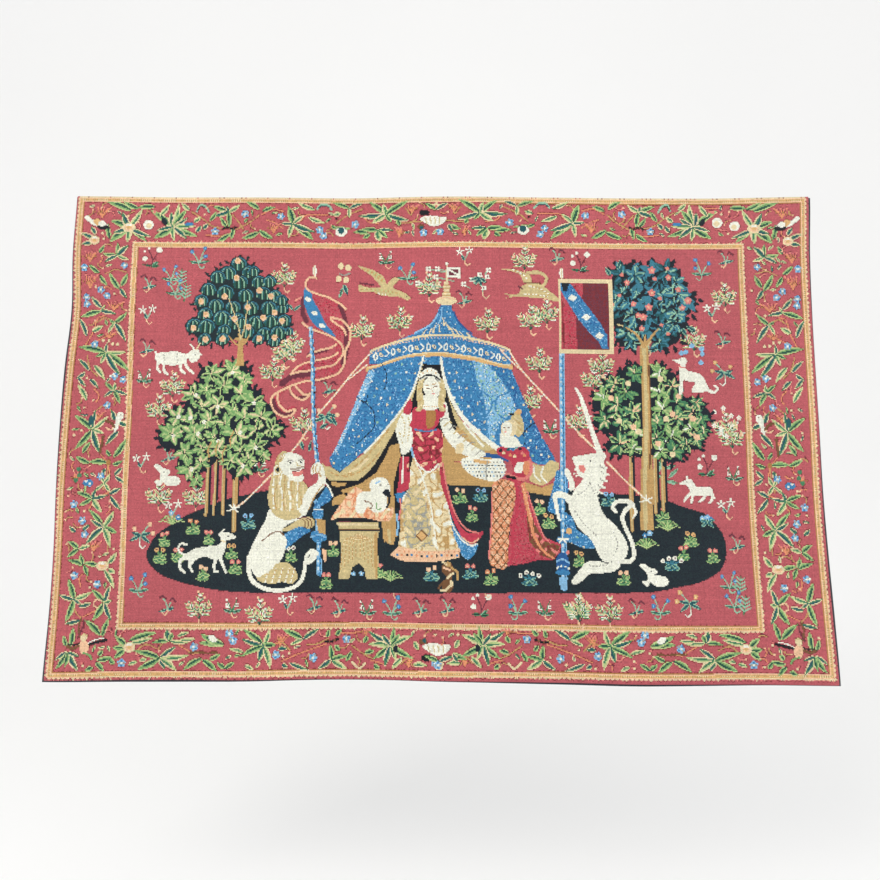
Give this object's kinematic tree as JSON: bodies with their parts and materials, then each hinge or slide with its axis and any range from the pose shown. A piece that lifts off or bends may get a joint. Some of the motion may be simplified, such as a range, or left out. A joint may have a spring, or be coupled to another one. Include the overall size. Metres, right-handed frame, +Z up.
{
  "type": "tapestry wall hanging",
  "caption": "Wide rectangular woven tapestry with a patterned border, turned edges, a full lining and a rod sleeve sewn across the top of its back.",
  "frame": {"origin": "middle of the rod channel behind the top of the hanging, where a rod holds it", "axes": "+X to the right of someone facing the picture, +Y towards the wall, +Z up; the picture faces -Y"},
  "size_m": [1.4, 0.0247, 0.8975],
  "materials": {
    "face_weave": "matt ribbed jacquard weave in red, gold, green, blue, ivory and navy yarns",
    "lining_cloth": "matt plain-woven cotton lining, dark navy",
    "sleeve_cloth": "matt plain-woven cotton, dark navy",
    "sleeve_thread": "spun polyester sewing thread, slight sheen",
    "edge_thread": "spun polyester sewing thread, slight sheen"
  },
  "bodies": {
    "root": {"face_cloth": "face_weave", "lining": "lining_cloth", "rod_sleeve": "sleeve_cloth", "sleeve_seam_upper": "sleeve_thread", "sleeve_seam_lower": "sleeve_thread", "sleeve_overcast_left": "sleeve_thread", "sleeve_overcast_right": "sleeve_thread", "edge_seam_top": "edge_thread", "edge_seam_bottom": "edge_thread", "edge_seam_left": "edge_thread", "edge_seam_right": "edge_thread"}
  },
  "joints": []
}
